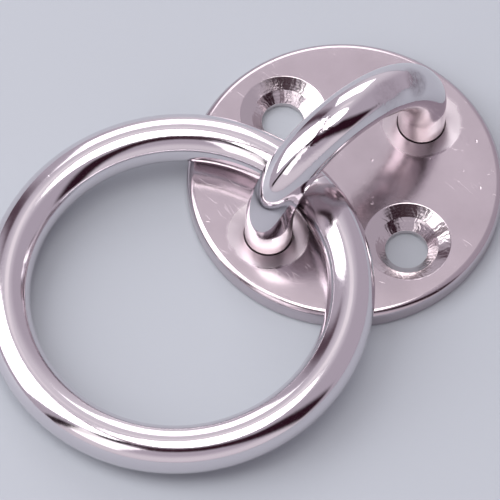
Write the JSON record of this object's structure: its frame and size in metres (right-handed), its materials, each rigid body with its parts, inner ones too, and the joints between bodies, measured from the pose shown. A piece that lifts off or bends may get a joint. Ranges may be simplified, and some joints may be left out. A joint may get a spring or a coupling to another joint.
{
  "type": "ring eye plate",
  "caption": "Round countersunk eye plate with a fixed bar staple and a loose welded ring that swings over the staple from one side to the other.",
  "frame": {"origin": "middle of the round plate's back face", "axes": "+X along the staple's two legs, away from the side the ring lies on; +Y along the line of the two screw holes; +Z out of the plate's front face"},
  "size_m": [0.0719, 0.049, 0.0225],
  "materials": {
    "plate_steel": "tumbled and lightly polished stainless steel, satin",
    "bar_steel": "mirror polished stainless steel bar",
    "weld_metal": "weld metal ground flush"
  },
  "bodies": {
    "eye_plate": {"base_plate": "plate_steel", "staple": "bar_steel", "staple_weld_left": "weld_metal", "staple_weld_right": "weld_metal"},
    "ring": {"ring": "bar_steel", "ring_weld": "weld_metal"}
  },
  "joints": [
    {"name": "ring_swing", "type": "hinge", "parent": "eye_plate", "child": "ring", "pos_m": [0, 0, 0.00711], "axis": [0, 1, 0], "range_deg": [0, 189.6]}
  ]
}
